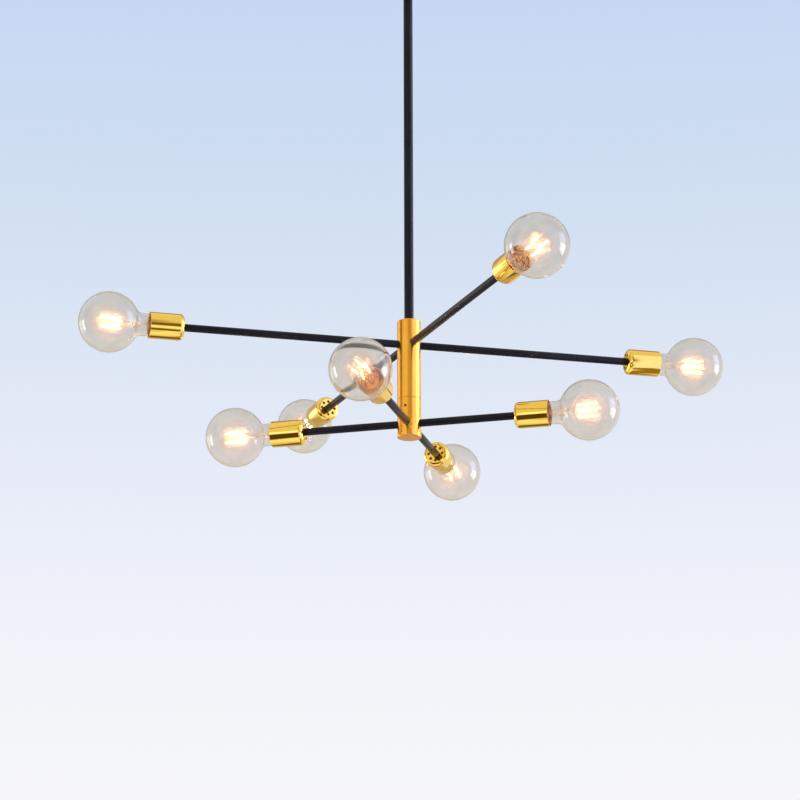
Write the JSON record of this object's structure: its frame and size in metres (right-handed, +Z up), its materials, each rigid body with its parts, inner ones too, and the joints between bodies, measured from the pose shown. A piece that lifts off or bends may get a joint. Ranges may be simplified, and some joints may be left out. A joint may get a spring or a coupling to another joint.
{
  "type": "multi arm chandelier",
  "caption": "Ceiling chandelier on a black down rod: tiers of level black arms round a gold hub, each arm ending in a gold cup that holds a clear globe filament bulb.",
  "frame": {"origin": "on the ceiling plane, midway between the bracket's two screw slots and on the down rod's axis", "axes": "+Z up along the down rod into the ceiling, +X along the ceiling bracket, -Y towards the picture's viewer"},
  "size_m": [1.0232, 0.9792, 0.8455],
  "materials": {
    "zinc_steel": "zinc plated",
    "black_steel": "blackened",
    "black_paint": "satin black",
    "satin_gold": "satin gold",
    "polished_gold": "polished gold",
    "cast_aluminium": "turned",
    "lead_sheath": "matte",
    "globe_glass": "clear, slightly smoky",
    "nickel_cap": "nickel plated",
    "filament_glow": "glowing phosphor",
    "brown_phenolic": "moulded brown",
    "contact_brass": "plain"
  },
  "bodies": {
    "hung_frame": {"ceiling_bracket": "zinc_steel", "canopy": "black_paint", "canopy_screws": "zinc_steel", "down_rod_upper": "black_paint", "down_rod_lower": "black_paint", "rod_nipples": "zinc_steel", "rod_nuts": "zinc_steel", "hub_upper_sleeve": "satin_gold", "hub_upper_core": "cast_aluminium", "swivel_spigot": "cast_aluminium", "supply_leads": "lead_sheath", "upper_arm_1": "black_paint", "upper_cup_1": "polished_gold", "upper_arm_2": "black_paint", "upper_cup_2": "polished_gold", "upper_arm_3": "black_paint", "upper_cup_3": "polished_gold", "upper_arm_4": "black_paint", "upper_cup_4": "polished_gold", "upper_cup_nuts": "zinc_steel", "upper_lampholders": "brown_phenolic", "upper_socket_contacts": "contact_brass"},
    "lower_tier": {"hub_lower_sleeve": "satin_gold", "hub_lower_core": "cast_aluminium", "swivel_screws": "black_steel", "lower_arm_1": "black_paint", "lower_cup_1": "polished_gold", "lower_arm_2": "black_paint", "lower_cup_2": "polished_gold", "lower_arm_3": "black_paint", "lower_cup_3": "polished_gold", "lower_arm_4": "black_paint", "lower_cup_4": "polished_gold", "lower_cup_nuts": "zinc_steel", "lower_lampholders": "brown_phenolic", "lower_socket_contacts": "contact_brass"},
    "upper_bulb_1": {"upper_bulb_glass_1": "globe_glass", "upper_bulb_cap_1": "nickel_cap", "upper_bulb_filaments_1": "filament_glow"},
    "upper_bulb_2": {"upper_bulb_glass_2": "globe_glass", "upper_bulb_cap_2": "nickel_cap", "upper_bulb_filaments_2": "filament_glow"},
    "upper_bulb_3": {"upper_bulb_glass_3": "globe_glass", "upper_bulb_cap_3": "nickel_cap", "upper_bulb_filaments_3": "filament_glow"},
    "upper_bulb_4": {"upper_bulb_glass_4": "globe_glass", "upper_bulb_cap_4": "nickel_cap", "upper_bulb_filaments_4": "filament_glow"},
    "lower_bulb_1": {"lower_bulb_glass_1": "globe_glass", "lower_bulb_cap_1": "nickel_cap", "lower_bulb_filaments_1": "filament_glow"},
    "lower_bulb_2": {"lower_bulb_glass_2": "globe_glass", "lower_bulb_cap_2": "nickel_cap", "lower_bulb_filaments_2": "filament_glow"},
    "lower_bulb_3": {"lower_bulb_glass_3": "globe_glass", "lower_bulb_cap_3": "nickel_cap", "lower_bulb_filaments_3": "filament_glow"},
    "lower_bulb_4": {"lower_bulb_glass_4": "globe_glass", "lower_bulb_cap_4": "nickel_cap", "lower_bulb_filaments_4": "filament_glow"}
  },
  "joints": [
    {"name": "lower_tier_swivel", "type": "hinge", "parent": "hung_frame", "child": "lower_tier", "pos_m": [0, 0, -0.758], "axis": [0, 0, 1], "range_deg": [-170, 170]},
    {"name": "upper_bulb_1_removal", "type": "slide", "parent": "hung_frame", "child": "upper_bulb_1", "axis": [0.9699, 0.2436, 0], "range_m": [0, 0.05]},
    {"name": "upper_bulb_2_removal", "type": "slide", "parent": "hung_frame", "child": "upper_bulb_2", "axis": [-0.3827, 0.9239, 0], "range_m": [0, 0.05]},
    {"name": "upper_bulb_3_removal", "type": "slide", "parent": "hung_frame", "child": "upper_bulb_3", "axis": [-0.9699, -0.2436, 0], "range_m": [0, 0.05]},
    {"name": "upper_bulb_4_removal", "type": "slide", "parent": "hung_frame", "child": "upper_bulb_4", "axis": [0.3827, -0.9239, 0], "range_m": [0, 0.05]},
    {"name": "lower_bulb_1_removal", "type": "slide", "parent": "lower_tier", "child": "lower_bulb_1", "axis": [0.2487, 0.9686, 0], "range_m": [0, 0.05]},
    {"name": "lower_bulb_2_removal", "type": "slide", "parent": "lower_tier", "child": "lower_bulb_2", "axis": [-0.9686, 0.2487, 0], "range_m": [0, 0.05]},
    {"name": "lower_bulb_3_removal", "type": "slide", "parent": "lower_tier", "child": "lower_bulb_3", "axis": [-0.2487, -0.9686, 0], "range_m": [0, 0.05]},
    {"name": "lower_bulb_4_removal", "type": "slide", "parent": "lower_tier", "child": "lower_bulb_4", "axis": [0.9686, -0.2487, 0], "range_m": [0, 0.05]}
  ]
}
